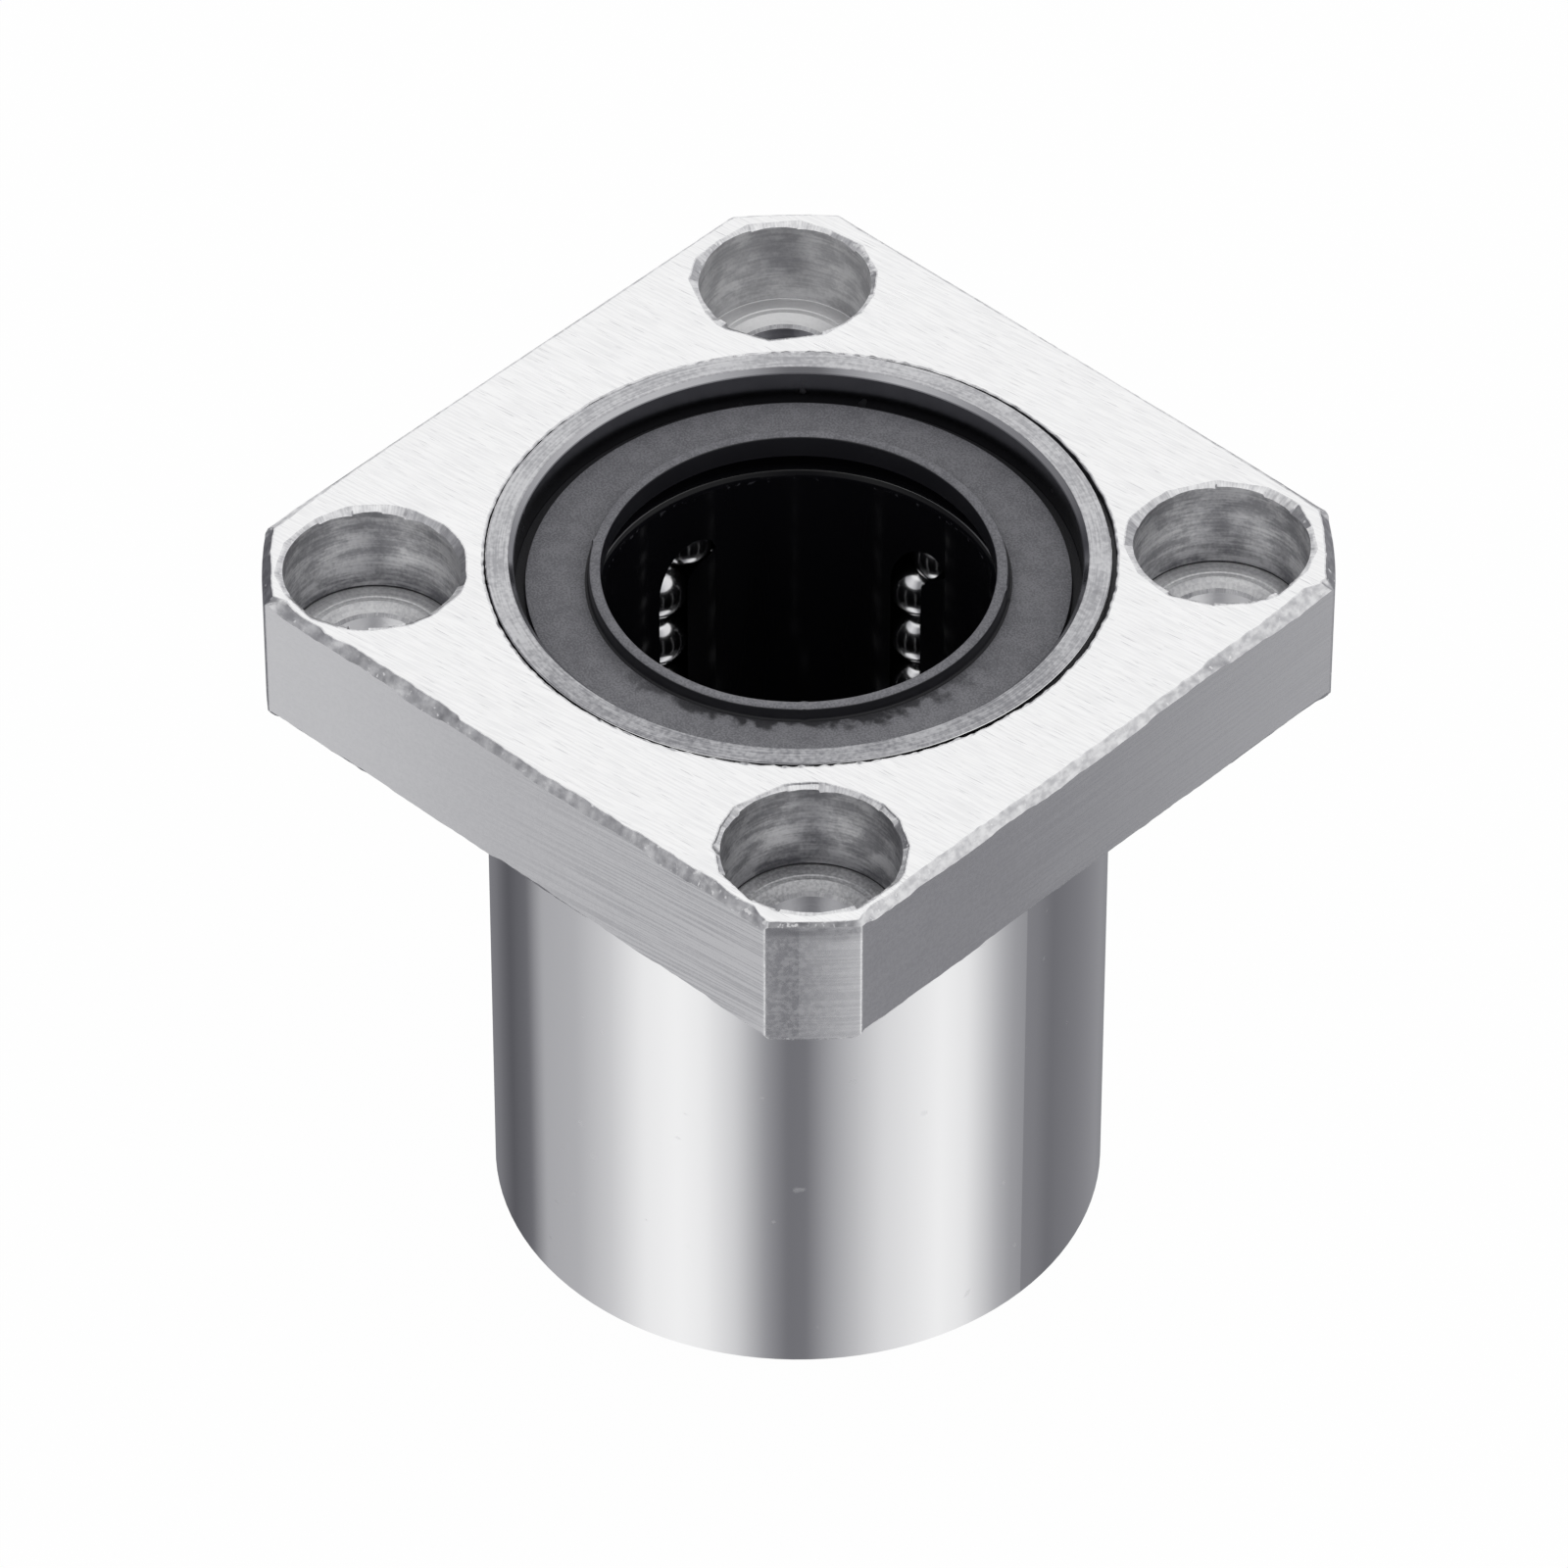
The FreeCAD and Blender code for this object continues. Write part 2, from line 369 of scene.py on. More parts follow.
# The counterbores stand a little off their pattern, by so many millimetres to the right and to the front.
# Their rims are scraped by hand in short straight strokes, every one a small facet of its own slope. The one
# in front has a chip and a steep outer lip.
right = around(front_right, 1)
toward = around(front, 1)
holes = []
for x, y, to_right, to_front, rim_width, slope, widest, outer_lip, sunk in (
    (1, 1, -0.11, -0.29, 0.42, 0.66, 150, 0.0, 0.0),
    (-1, 1, -0.16, -0.14, 0.38, 0.72, 190, 0.0, -0.16),
    (-1, -1, -0.03, 0.49, 0.43, 0.95, 40, 0.0, 0.03),
    (1, -1, 0.07, 0.46, 0.38, 0.66, 70, 0.06, 0.03),
):
    centre = Vector((x * bolt_offset, y * bolt_offset, 0)) + (to_right * right + to_front * toward) * mm
    room = half_side - max(abs(centre.x), abs(centre.y))
    land = 0.5 * (room + counterbore_radius)
    holes.append((centre, land, rim_width, slope, widest, outer_lip, sunk))


def clear_of_holes(turned):
    """The widest that a filed edge can be here, with a thin land left beside each counterbore."""
    point = around(turned, edge_distance(turned, 0))
    return min((point - hole[0]).length - hole[1] for hole in holes) - 0.1 * mm


shape = bmesh.new()
wanted = edge_widths(top_edge_width, 1.3, 4.2 * mm, 1.0)
top_width = [min(width, clear_of_holes(turned)) for width, turned in zip(wanted, outline_turns)]
top_drop = edge_widths(top_edge_drop, 21.3, 2.9 * mm, 0.9)
under_width = edge_widths(foot_width, 41.3, 5.3 * mm, 0.5)
under_rise = edge_widths(foot_rise, 61.3, 3.7 * mm, 0.45)
flush = [0.0] * len(outline_turns)
uneven = []
raised = []
for turned in outline_turns:
    point = around(turned, half_side)
    uneven.append(edge_wave * ripple(point, 0.45 * mm, 81.3))
    raised.append(flange_top + edge_burr * max(0, ripple(point, 0.4 * mm, 91.3) * facing_front(turned)))
rows = [outline_loop(shape, [width + edge_land for width in top_width], [flange_top] * len(flush))]
rows.append(outline_loop(shape, top_width, raised))
for share in (0.7, 0.35):
    insets = [share * width + wave for width, wave in zip(top_width, uneven)]
    rows.append(outline_loop(shape, insets, [flange_top - (1 - share) * drop for drop in top_drop]))
rows.append(outline_loop(shape, flush, [flange_top - drop for drop in top_drop]))
rows.append(outline_loop(shape, flush, [flange_bottom + rise for rise in under_rise]))
insets = [0.45 * width + wave for width, wave in zip(under_width, uneven)]
rows.append(outline_loop(shape, insets, [flange_bottom + 0.5 * rise for rise in under_rise]))
rows.append(outline_loop(shape, under_width, [flange_bottom] * len(flush)))
for row in range(7):
    band(shape, rows[row], rows[row + 1], side_finishes if row == 4 else filed_edge)
top_edges = loop_edges(shape, rows[0])
bottom_edges = loop_edges(shape, rows[7])

# The bore's rim stands clear of the sleeve at the front right, and has a fine raised burr, most at the back.
bore_steps = 900
lower_break = 0.28 * mm
gap_depth = 0.5 * mm
turns = [step * 2 * math.pi / bore_steps for step in range(bore_steps)]
gap = []
burr = []
for turned in turns:
    point = around(turned, bore_radius)
    at_back = max(0, -math.cos(turned - front))
    width = 0.07 + 0.2 * max(0, math.cos(turned - front_right)) ** 1.5 - 0.05 * at_back
    at_front = max(0, math.cos(turned - front)) ** 2
    width += 0.02 * ripple(point, 3 * mm, 3.7) + (0.05 + 0.05 * at_front) * ripple(point, 0.5 * mm, 9.7)
    gap.append(bore_radius + max(width, 0.015) * mm)
    rough = max(0, ripple(point, 0.35 * mm, 15.7) + 0.1)
    burr.append(flange_top + (0.05 + 0.1 * max(at_back, at_front)) * mm * rough)
middle = Vector((0, 0, 0))
flat = [flange_top] * bore_steps
rim = [
    circle_loop(shape, middle, [radius + 0.13 * mm for radius in gap], flat),
    circle_loop(shape, middle, [radius + 0.05 * mm for radius in gap], burr),
    circle_loop(shape, middle, gap, [flange_top - 0.03 * mm] * bore_steps),
    circle_loop(shape, middle, gap, [flange_top - gap_depth] * bore_steps),
    circle_loop(shape, middle, [bore_radius] * bore_steps, [flange_top - gap_depth - 0.05 * mm] * bore_steps),
    circle_loop(shape, middle, [bore_radius] * bore_steps, [flange_bottom + lower_break] * bore_steps),
    circle_loop(shape, middle, [bore_radius + lower_break] * bore_steps, [flange_bottom] * bore_steps),
]
for row, finish in enumerate((filed_edge, filed_edge, crevice, crevice, crevice, filed_edge)):
    band(shape, rim[row], rim[row + 1], finish)
top_edges += loop_edges(shape, rim[0])
bottom_edges += loop_edges(shape, rim[6])

# Each counterbore goes down from its rim to a ringed floor with a low step, a cone and the bolt hole. Its
# radii are in millimetres, and its depths are from the floor.
steps = 360
turns = [step * 2 * math.pi / steps for step in range(steps)]
bore = 4.5
floor_edge, floor_step, cone_rim, cone_foot, bolt_rim = 4.4, 3.72, 3.3, 2.9, 2.75
step_depth, cone_depth, bolt_depth = -0.05, -0.42, -0.6
bolt_break = 0.35 * mm
chip_at = math.radians(222)
for bolt, (centre, land, rim_width, slope, widest, outer_lip, sunk) in enumerate(holes):
    seed = 100 + 17.3 * bolt
    strokes = []
    aim = 0.0
    while aim < 2 * math.pi:
        lean = noise.cell(Vector((aim * 40, seed, 1)))
        reach = rim_width * (0.75 + 0.2 * math.cos(aim - math.radians(widest)))
        reach *= 0.8 + 0.4 * noise.cell(Vector((aim * 40, seed, 2)))
        strokes.append((aim, bore + reach, slope * (0.7 + 0.6 * lean)))
        aim += 0.3 + 0.3 * noise.cell(Vector((aim * 40, seed, 3)))
    edge = []
    foot = []
    for turned in turns:
        point = around(turned, counterbore_radius)
        cuts = [(far / max(math.cos(turned - aim), 0.1), far, tilt, aim) for aim, far, tilt in strokes]
        reach, far, tilt, aim = min(cuts)
        reach += 0.03 * ripple(point, 0.35 * mm, seed + 6) + 0.015 * ripple(point, 1.2 * mm, seed + 3)
        drop = tilt * (far - bore * math.cos(turned - aim)) + 0.03 * ripple(point, 0.4 * mm, seed + 12)
        if outer_lip:
            chip = math.exp(-((turned - chip_at) / 0.055) ** 2)
            reach += 0.16 * chip
            drop += 0.25 * chip + outer_lip
        edge.append(min(max(reach, bore + 0.04) * mm, land - 0.1 * mm))
        foot.append(max(drop, 0.06) * mm)
    lip = [0.05 * mm if outer_lip else 0.5 * (far - counterbore_radius) for far in edge]
    lip_drop = [(outer_lip + 0.03) * mm if outer_lip else 0.5 * drop for drop in foot]
    burrs = [max(0, ripple(around(turned, 1), 0.05, seed + 20)) for turned in turns]
    raised = [flange_top + 0.04 * mm * height for height in burrs]
    rows = [
        circle_loop(shape, centre, [far + edge_land for far in edge], [flange_top] * steps),
        circle_loop(shape, centre, edge, raised),
        circle_loop(shape, centre, [far - width for far, width in zip(edge, lip)],
                    [flange_top - drop for drop in lip_drop]),
        circle_loop(shape, centre, [counterbore_radius] * steps, [flange_top - drop for drop in foot]),
    ]
    finishes = [filed_edge, filed_edge, filed_edge]
    groove = crevice if sunk >= 0 else counterbore
    section = [
        (bore, 0.07, counterbore), (bore + 0.02, 0.0, groove), (bore - 0.01, -0.03, groove),
        (floor_edge, 0.0, counterbore), (floor_step, 0.0, counterbore),
        (floor_step - 0.06, step_depth, counterbore), (cone_rim + 0.1, step_depth, counterbore),
        (cone_rim, 2 * step_depth, counterbore), (cone_foot, cone_depth, counterbore),
        (bolt_rim, bolt_depth, filed_edge),
    ]
    for radius, rise, finish in section:
        height = counterbore_floor + (rise - sunk) * mm
        rows.append(circle_loop(shape, centre, [radius * mm] * steps, [height] * steps))
        finishes.append(finish)
    rows.append(circle_loop(shape, centre, [bolt_radius] * steps, [flange_bottom + bolt_break] * steps))
    finishes.append(counterbore)
    rows.append(circle_loop(shape, centre, [bolt_radius + bolt_break] * steps, [flange_bottom] * steps))
    finishes.append(filed_edge)
    for row, finish in enumerate(finishes):
        band(shape, rows[row], rows[row + 1], finish)
    top_edges += loop_edges(shape, rows[0])
    bottom_edges += loop_edges(shape, rows[-1])
bmesh.ops.triangle_fill(shape, use_beauty=False, use_dissolve=False, edges=top_edges)
bmesh.ops.triangle_fill(shape, use_beauty=False, use_dissolve=False, edges=bottom_edges)

# The flange's finishes: ground, milled, turned, filed and drilled steel, and a painted shade in its crevices.
# The top is ground in fine straight lines, with a few darker dashes.
ground_finish, shade, place = new_finish("ground_top")
ground_turn = math.radians(6.4)
with_lines = along(place, (math.cos(ground_turn), math.sin(ground_turn), 0))
over_lines = along(place, (-math.sin(ground_turn), math.cos(ground_turn), 0))
lines = grain(shade.node("CombineXYZ", {}, {"X": with_lines * 420, "Y": over_lines * 7600}), detail=3.0)
hairs = grain(shade.node("CombineXYZ", {}, {"X": with_lines * 620, "Y": over_lines * 11000}), detail=2.0)
dashes = step_up(hairs, 0.62, 0.72)
bright = step_up(lines, 0.36, 0.62)
surface(
    shade,
    Base_Color=tint(dashes * 0.7, tint_between(bright, 0.92, 1.0), grey(0.62)),
    Metallic=1.0,
    Roughness=0.24 + 0.1 * grain(place, 160, 3.0),
    Normal=bumped(lines - 0.6 * dashes, 0.0003 * mm),
)

# The sides are milled: ruled with lines on the left, plain and finely toothed on the right, and a trace
# hollow towards the corners, so they brighten there. They are also painted lighter away from the front
# corner, a painted light.
milled_finish, shade, place = new_finish("milled_side")
line_depth = 0.0022 * mm
run = along(place, (1, 1, 0))
across_lines = along(place, (-0.122, 0, 0.9925))
lines = grain(shade.node("CombineXYZ", {}, {"X": run * 90, "Y": across_lines * 6800}), detail=3.0)
patches = grain(place, 420, 3.0)
left_ruled = step_up(run, -26 * mm, -8 * mm) * (1 - step_up(run, -3 * mm, 1 * mm))
ruled = left_ruled + 0.3 * step_up(run, 9 * mm, 24 * mm)
from_front = shade.math("ABSOLUTE", run)
# Painted light: the side's colour is lighter away from the front corner.
far_painted_light = step_up(from_front, 6 * mm, 36 * mm)
tooth = step_up(grain(place, 5600, 2.0), 0.36, 0.64) - 0.5
scored = step_up(lines, 0.40, 0.58) * (0.1 + 0.9 * ruled) + patches * 0.3 + tooth * 0.22
past_middle = shade.math("MAXIMUM", from_front - 14 * mm, 0.0)
hollow = past_middle * past_middle * (1.55 / line_depth)
surface(
    shade,
    Base_Color=tint(far_painted_light, tint_between(scored, 0.70, 0.92), tint_between(scored, 0.9, 1.0)),
    Metallic=1.0,
    Roughness=0.24,
    Normal=bumped(lines * (0.15 + ruled) + hollow, line_depth),
)

# The corners keep the fine rings of the turned disc. They are stained on their left and just under the top.
turned_finish, shade, place = new_finish("turned_corner")
ring_depth = 0.0016 * mm
lines = step_up(grain(stretched(place, 130, 130, 6200), detail=2.0), 0.36, 0.64)
blotches = step_up(grain(place, 3500, 3.0), 0.36, 0.66)
patches = grain(place, 650, 3.0)
depth = flange_top - along(place, up) + (patches - 0.5) * 0.0012
under_top = step_up(depth, 0.1 * mm, 0.5 * mm) * (1 - step_up(depth, 0.5 * mm, 1.3 * mm))
stain = under_top * (0.5 + 0.5 * blotches)
to_right = along(place, to_right_corner)
stained_side = 1 - step_up(to_right + (patches - 0.5) * 0.004, -0.6 * mm, 1.8 * mm)
clean = tint_between(lines * 0.75 + blotches * 0.25, 0.86, 1.0)
dirty = tint_between(lines * 0.3 + blotches * 0.35 + step_up(patches, 0.36, 0.62) * 0.35, 0.82, 1.0)
leaning = shade.math("MAXIMUM", to_right, 0.0) * (-0.05 / ring_depth)
surface(
    shade,
    Base_Color=tint(stain * 0.7, tint(stained_side, clean, dirty), grey(0.36)),
    Metallic=1.0,
    Roughness=0.23 + 0.08 * blotches,
    Normal=bumped(lines + leaning, ring_depth),
)


def from_nearest_hole(place):
    """The place, measured from the middle of the nearest counterbore."""
    at_right, at_left_back, at_left, at_front = (hole[0] for hole in holes)
    to_x = along(place, (1, 0, 0)) > 0.0
    to_y = along(place, (0, 1, 0)) > 0.0
    vectors = {"data_type": "VECTOR"}
    low_y = to_x.node("Mix", vectors, {0: to_x, 4: at_left, 5: at_front}, 1)
    high_y = to_x.node("Mix", vectors, {0: to_x, 4: at_left_back, 5: at_right}, 1)
    middle = to_x.node("Mix", vectors, {0: to_y, 4: low_y, 5: high_y}, 1)
    return place.node("VectorMath", {"operation": "SUBTRACT"}, {0: place, 1: middle})


# The filed edges are scraped along the sides and across the rims, with bright flakes near the front corner.
filed_finish, shade, place = new_finish("filed_edge")
rim_limit = 5.0 * mm
local = from_nearest_hole(place)
round_bolt = shade.math("ARCTAN2", along(local, (0, 1, 0)), along(local, (1, 0, 0)))
across_rim = flat_radius(local)
scrapes = grain(shade.node("CombineXYZ", {}, {"X": round_bolt * 34, "Y": across_rim * 420}), detail=3.0)
on_rim = 1 - step_up(across_rim, rim_limit, rim_limit + 0.2 * mm)
along_edge = grain(stretched(place, 1700, 1700, 5200), detail=3.0)
strokes = tint(on_rim, along_edge, scrapes)
patches = grain(place, 2300, 3.0)
near_front = 1 - step_up(shade.math("ABSOLUTE", along(place, (1, 1, 0))), 2 * mm, 14 * mm)
flakes = step_up(grain(place, 3300, 2.0) + near_front * 0.06, 0.65, 0.72)
worn = tint_between(step_up(strokes * 0.5 + patches * 0.5, 0.34, 0.66), 0.60, 0.88)
surface(
    shade,
    Base_Color=tint(flakes, worn, grey(0.95)),
    Metallic=1 - 0.8 * flakes,
    Roughness=0.3 + 0.2 * flakes,
    Normal=bumped(strokes * 0.25 + patches, 0.02 * mm),
)

# The counterbores are drilled and ringed below. Their walls are blotched, the blotches partly marks and
# partly a painted reflection, and painted darker towards the floor, a painted shade. The one at the back is
# painted brighter and the one in front duller, and each bolt hole a grey of its own, darkest at the back,
# as painted light and shade.
drilled_finish, shade, place = new_finish("drilled_counterbore")
from_bolt = flat_radius(from_nearest_hole(place))
normal_up = along(shade.node("NewGeometry", output="Normal"), up)
on_wall = 1 - step_up(normal_up * normal_up, 0.1, 0.3)
in_hole = 1 - step_up(from_bolt, bolt_radius + 0.05 * mm, bolt_radius + 0.11 * mm)
wall_marks = step_up(grain(stretched(place, 420, 420, 6200), detail=3.0), 0.36, 0.64)
ring_place = shade.node("CombineXYZ", {}, {"X": from_bolt * 5200, "Y": along(place, (160, 120, 0))})
floor_marks = step_up(grain(ring_place, detail=3.0), 0.32, 0.68)
speckle = step_up(grain(place, 5600, 2.0), 0.34, 0.66)
waves = grain(stretched(place, 520, 520, 1500), detail=3.0)
blotches = step_up(grain(stretched(place, 560, 560, 900), detail=3.0), 0.36, 0.66)
marks = (wall_marks + speckle * 0.6) * on_wall + (floor_marks + speckle * 0.8) * (1 - on_wall)
# Painted shade: the wall is painted darker towards the floor.
above_floor = step_up(along(place, up), counterbore_floor - 0.3 * mm, counterbore_floor + 2.6 * mm)
# Partly painted reflection: the wall's bright blotches, mixed with its marks.
marks_and_painted_reflection = step_up(blotches * 0.55 + wall_marks * 0.27 + speckle * 0.18, 0.0, 1.0)
to_front = along(place, to_front_corner)
at_back = 1 - step_up(to_front, -16 * mm, -12 * mm)
at_front = step_up(to_front, 12 * mm, 16 * mm)
wall_grey = tint(above_floor, tint_between(marks_and_painted_reflection, 0.16, 0.52), tint_between(marks_and_painted_reflection, 0.46, 1.0))
# Painted light and shade: the back counterbore is painted brighter, the front one duller, and each bolt hole
# its own grey.
wall_grey = tint(at_front * 0.12, wall_grey, tint_between(marks_and_painted_reflection, 0.12, 0.5))
wall_grey = tint(at_back * 0.3, wall_grey, grey(1.0))
floor_grey = tint_between(floor_marks * 0.45 + speckle * 0.35 + blotches * 0.2, 0.62, 1.0)
floor_grey = tint(at_front * 0.5, floor_grey, tint_between(speckle, 0.25, 0.5))
floor_grey = tint(at_back * 0.8, floor_grey, grey(1.0))
bolt_grey = tint(at_front, tint_between(at_back, 0.85, 0.25), grey(0.5))
surface(
    shade,
    Base_Color=tint(in_hole, tint(on_wall, floor_grey, wall_grey), bolt_grey),
    Metallic=0.7 + 0.3 * on_wall,
    Roughness=0.5 - 0.08 * on_wall,
    Normal=bumped(waves * on_wall * 7 + marks * 0.8, 0.006 * mm),
)

# Painted shade: the crevices are painted near-black.
crevice_shade_finish, shade, place = new_finish("painted_shade_crevice")
surface(shade, Base_Color=tint_between(grain(place, 2500, 2.0), 0.008, 0.05), Metallic=0.0, Roughness=0.45)

finishes = [ground_finish, milled_finish, turned_finish, filed_finish, drilled_finish, crevice_shade_finish]
flange = finished_piece("square_flange", shape, finishes, 26)
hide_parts("flange_plate")
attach(flange, "housing")

# Ball cage. A sleeve moulded in black resin, with five closed tracks cut through to its bore, which hold the
# balls by their sides. Its mouths are rounded and it has the dull shine of a moulding, with a little dust at
# the mouth.
black_resin, shade, place = new_finish("black_resin")
orange_peel = grain(place, 1400, 2.0)
flow = grain(stretched(place, 300, 300, 60), detail=3.0)
height = along(place, up)
dust_line = 38.0 * mm
above_line = step_up(height, dust_line, dust_line + 0.15 * mm)
mouth = above_line * (1 - step_up(height, dust_line + 0.2 * mm, dust_line + 0.35 * mm))
dust = step_up(grain(place, 2600, 1.0), 0.62, 0.72) * mouth
cage_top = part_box("ball_cage")[1].z
from_end = cage_top - height
# Painted highlight: a shiny coat band where the mouth's glint falls, stronger on the right.
painted_highlight_band = step_up(from_end, 0.03 * mm, 0.05 * mm) * (1 - step_up(from_end, 0.075 * mm, 0.1 * mm))
brighter_right = 0.5 + 0.5 * step_up(along(place, to_right_corner), -3 * mm, 3 * mm)
surface(
    shade,
    Base_Color=tint(dust, tint_between(flow, 0.005, 0.009), grey(0.06)),
    Roughness=0.08 + 0.05 * flow + 0.3 * dust,
    Specular_IOR_Level=0.2,
    Coat_Weight=painted_highlight_band * brighter_right,
    Coat_Roughness=0.08,
    Coat_IOR=2.7,
    Normal=bumped(orange_peel, 0.001 * mm),
)
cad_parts["ball_cage"].data.materials.clear()
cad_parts["ball_cage"].data.materials.append(black_resin)

# Balls. Five circuits of eighteen balls of hardened chrome steel, lapped round and mirror bright, with the
# faint marks of running in.
ball_steel, shade, place = new_finish("ball_steel")
wear = grain(place, 1500, 3.0)
surface(
    shade,
    Base_Color=tint_between(wear, 0.72, 0.84),
    Metallic=1.0,
    Roughness=0.14 + 0.05 * wear,
)
for name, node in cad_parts.items():
    if name.startswith("circuit"):
        node.data.materials.clear()
        node.data.materials.append(ball_steel)

# End rings. Two flat rings of spring steel, snapped into grooves in the sleeve, which hold the cage between
# them. They are punched and tumbled, so they are plain grey with a fine grain.
ring_steel, shade, place = new_finish("ring_steel")
tumbled = grain(place, 3000, 3.0)
surface(
    shade,
    Base_Color=tint_between(tumbled, 0.36, 0.5),
    Metallic=1.0,
    Roughness=0.32 + 0.15 * tumbled,
    Normal=bumped(tumbled, 0.001 * mm),
)
for end in ("upper", "lower"):
    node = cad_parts[end + "_end_ring"]
    node.data.materials.clear()
    node.data.materials.append(ring_steel)

# Seals. A dark grey rubber ring pressed into each end of the sleeve. A thin lip stands up round the bore and
# wipes the shaft. The mould leaves the face finely grained, and the walls of the lip smooth and black. Faces
# that look up are painted grey, a painted sheen of the light from above, a little lighter towards the
# front; the walls and the rebate's floor stay near-black, a painted shade, and so do the trench at the
# lip's foot and, as a painted shadow, the face just in front of the lip at the front.
shaft_radius = 10.0
lip_top = 0.9
lip_outside = 10.6
lip_foot = 10.64
face_start = 10.84
face_depth = 1.7
rebate_start = 13.85
rebate_depth = 2.15
seal_outside = 14.402
seal_back = 2.5
throat = 10.95

# The section runs round the rubber from the foot of its bore, as radius and depth below the sleeve's end.
seal_section = [
    (shaft_radius, 2.05), (shaft_radius, 1.02), (10.03, 0.94), (10.1, lip_top), (10.46, lip_top),
    (10.55, 0.93), (lip_outside, 1.0), (lip_foot, 1.5), (10.66, 1.66), (10.7, face_depth), (10.8, 1.72),
    (face_start, face_depth), (13.74, face_depth), (13.82, 1.73), (rebate_start, 1.8), (13.86, 2.12),
    (13.89, rebate_depth), (14.38, rebate_depth), (seal_outside, 2.17), (seal_outside, seal_back),
    (throat, seal_back), (throat, 2.2),
]
lip_points = 8
seal_rubber, shade, place = new_finish("seal_rubber")
normal_up = along(shade.node("NewGeometry", output="Normal"), up)
facing_end = step_up(normal_up * normal_up, 0.3, 0.62)
radius = flat_radius(place)
fine = grain(place, 9500, 2.0)
coarse = grain(place, 1100, 3.0)
mottle = step_up(fine * 0.72 + coarse * 0.28, 0.37, 0.63)
at_front = step_up(along(place, to_front_corner), 5.0 * mm, 10.5 * mm)
past_lip = step_up(radius, lip_outside * mm, lip_foot * mm)
# Painted shade: the trench at the lip's foot is painted near-black.
trench = past_lip * (1 - step_up(radius, 10.79 * mm, face_start * mm))
# Painted shadow: the face in front of the lip is painted near-black at the front.
front_painted_shadow = at_front * (1 - step_up(radius + (coarse - 0.5) * 0.003, 10.9 * mm, 11.6 * mm)) * past_lip
rebate = step_up(radius, 13.80 * mm, 13.84 * mm)
in_bore = 1 - step_up(radius, (shaft_radius + 0.02) * mm, (shaft_radius + 0.05) * mm)
# Painted sheen: faces that look up are painted grey, a little lighter at the front; walls and the rebate's
# floor stay near-black.
painted_sheen_grey = tint(at_front, tint_between(mottle, 0.13, 0.22), tint_between(mottle, 0.16, 0.26))
face_painted_light_and_shade = tint(shade.math("MAXIMUM", trench, front_painted_shadow * 0.85), painted_sheen_grey, grey(0.012))
surface(
    shade,
    Base_Color=tint(facing_end * (1 - rebate), tint_between(in_bore, 0.012, 0.018), face_painted_light_and_shade),
    Roughness=0.3 + 0.32 * facing_end,
    Normal=bumped(mottle * facing_end, 0.008 * mm),
)
steps = 480
for end in ("upper", "lower"):
    shape = bmesh.new()
    loops = []
    for turned in (step * 2 * math.pi / steps for step in range(steps)):
        droop = 0.12 * math.cos(turned - front)
        droop += 0.025 * ripple(around(turned, shaft_radius * mm), 2.5 * mm, 7.7)
        flash = sum(math.exp(-((turned - math.radians(seam)) / 0.016) ** 2) for seam in (35, 212, 315))
        loop = []
        for number, (radius, depth) in enumerate(seal_section):
            if 0 < number < lip_points:
                depth += droop - 0.05 * flash
            if 4 < number < 10:
                radius += 0.08 * flash
            height = sleeve_high.z - depth * mm if end == "upper" else sleeve_low.z + depth * mm
            loop.append(shape.verts.new(around(turned, radius * mm, height)))
        loops.append(loop)
    for step in range(steps):
        band(shape, loops[step - 1], loops[step], 0)
    seal = finished_piece(end + "_rubber_seal", shape, [seal_rubber], 40)
    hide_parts(end + "_seal")
    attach(seal, "housing")

# Studio. The bearing stands on a white table and is seen from above its front corner.
camera_turn = math.radians(43.5688)
camera_height = math.radians(42.2329)
camera_distance = 570.8627 * mm
camera_left = 0.7374 * mm
camera_down = 11.5777 * mm
across = Vector((math.cos(camera_turn), math.sin(camera_turn), 0))
back = Vector((
    math.sin(camera_turn) * math.cos(camera_height),
    -math.cos(camera_turn) * math.cos(camera_height),
    math.sin(camera_height),
))
upright = back.cross(across)
aim_height = 41.95 * mm
aim = Vector((0, 0, aim_height))
lens = bpy.data.cameras.new("camera")
lens.sensor_width = 36.0
lens.lens = 259.68
lens.clip_start = 0.01
camera = bpy.data.objects.new("camera", lens)
bpy.context.scene.collection.objects.link(camera)
camera.matrix_world = Matrix((
    (across.x, upright.x, back.x, 0),
    (across.y, upright.y, back.y, 0),
    (across.z, upright.z, back.z, 0),
    (0, 0, 0, 1),
))
camera.location = aim + camera_distance * back - camera_left * across - camera_down * upright
bpy.context.scene.camera = camera

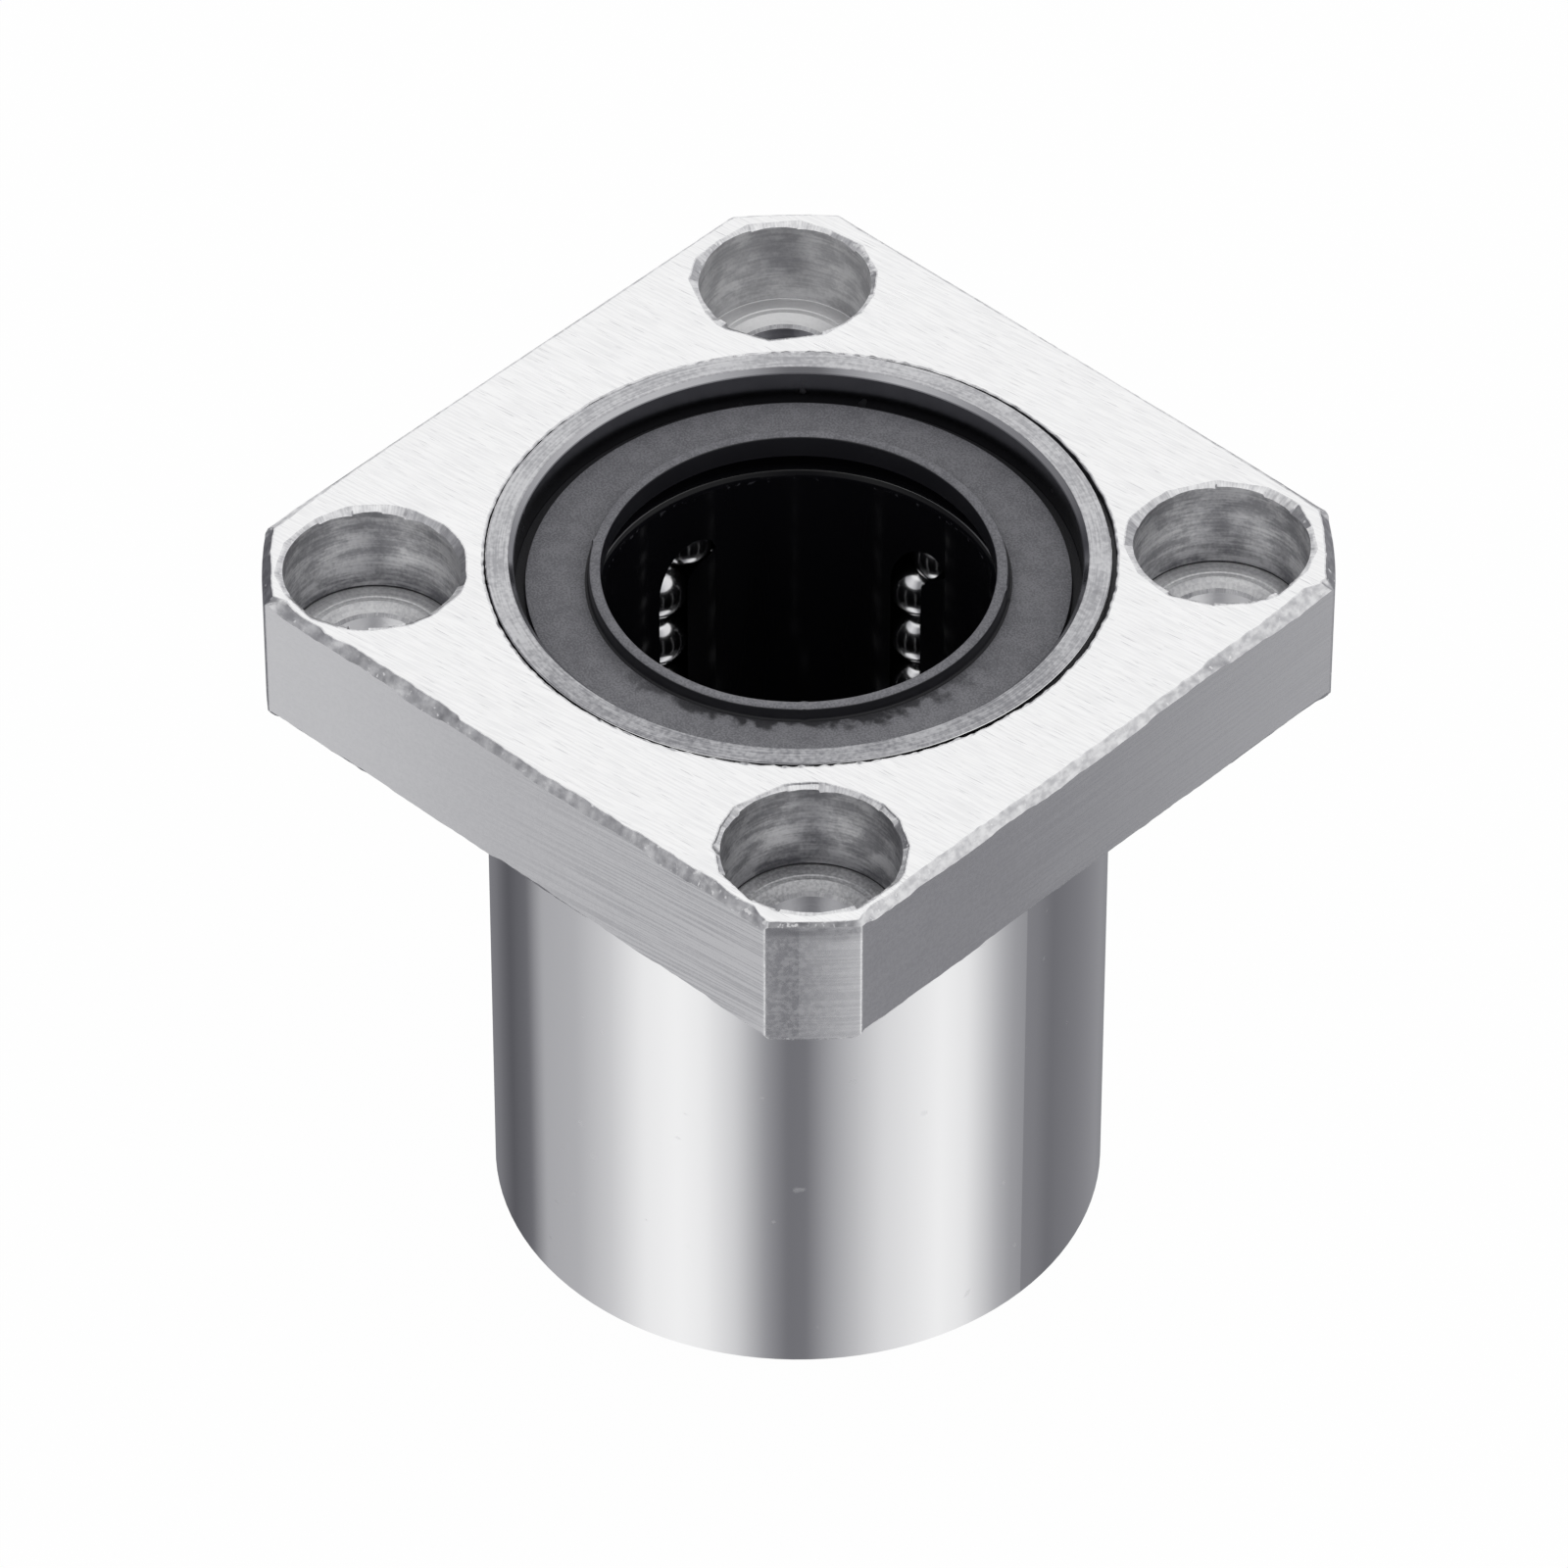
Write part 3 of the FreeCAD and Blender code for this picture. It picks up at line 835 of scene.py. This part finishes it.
table = bpy.data.meshes.new("table")
table_size = 3.0
table_gap = 0.02 * mm
corners = [(-table_size, -table_size, 0), (table_size, -table_size, 0),
           (table_size, table_size, 0), (-table_size, table_size, 0)]
table.from_pydata(corners, [], [(0, 1, 2, 3)])
floor = bpy.data.objects.new("table", table)
floor.location.z = -table_gap
floor.visible_glossy = False
bpy.context.scene.collection.objects.link(floor)
table_white, shade, place = new_finish("table_white")
seen = shade.node("LightPath", output="Is Camera Ray")
paint = shade.node("BsdfDiffuse", {}, {"Color": grey(0.93)})
glow = shade.node("Emission", {}, {"Color": grey(1.0), "Strength": 1.0})
mixed = shade.node("MixShader", {}, {0: seen * 0.98, 1: paint, 2: glow})
shade.node("OutputMaterial", {}, {"Surface": mixed})
table.materials.append(table_white)

# What polished steel sees around the bearing, from the camera's own direction round to the right.
world = bpy.data.worlds.new("studio")
bpy.context.scene.world = world
world.use_nodes = True
world.node_tree.nodes.clear()
shade = Shade(world.node_tree)
ray = shade.node("TexCoord", output="Generated")
to_camera = Vector((back.x, back.y, 0)).normalized()
turn = shade.math("ARCTAN2", along(ray, across), along(ray, to_camera))
rise = along(ray, up)
round_share = turn / (2 * math.pi) + 0.5


def stops(levels):
    return sorted((turned / 360 + 0.5, level) for turned, level in levels.items())


below = {-180: 0.22, -155: 0.18, -138: 0.10, -122: 0.15, -111: 0.41, -92: 0.45, -75: 0.62, -60: 0.87,
         -46: 0.94, -36: 0.88, -24: 0.66, -12: 0.30, -4: 0.17, 3: 0.18, 14: 0.40, 32: 0.72, 55: 0.92,
         66: 0.84, 82: 0.44, 95: 0.24, 110: 0.16, 128: 0.20, 155: 0.28, 179: 0.24}
level_with = {-180: 1.0, -158: 1.0, -148: 0.45, -136: 0.07, -118: 0.12, -100: 0.20, -81: 0.30, -62: 0.62,
              -42: 0.85, -20: 0.45, -9: 0.10, 5: 0.10, 22: 0.5, 42: 0.8, 60: 0.9, 85: 0.95,
              110: 0.62, 134: 0.36, 152: 0.6, 168: 1.0, 179: 1.0}
low = shade.node("ValToRGB", {"stops": stops(below)}, {"Fac": round_share})
mid = shade.node("ValToRGB", {"stops": stops(level_with)}, {"Fac": round_share})
sides = tint(step_up(rise, -0.2, 0.15), low, mid)
hazy = tint(0.25 * step_up(rise, 0.05, 0.35), sides, grey(0.7))
studio = tint(step_up(rise, 0.80, 0.90), hazy, grey(1.0))
seen = shade.node("LightPath", output="Is Camera Ray")
light = tint(seen, studio, grey(1.0))
sky = shade.node("Background", {}, {"Color": light, "Strength": 1.0})
shade.node("OutputWorld", {}, {"Surface": sky})

bpy.context.scene.view_settings.view_transform = "Standard"
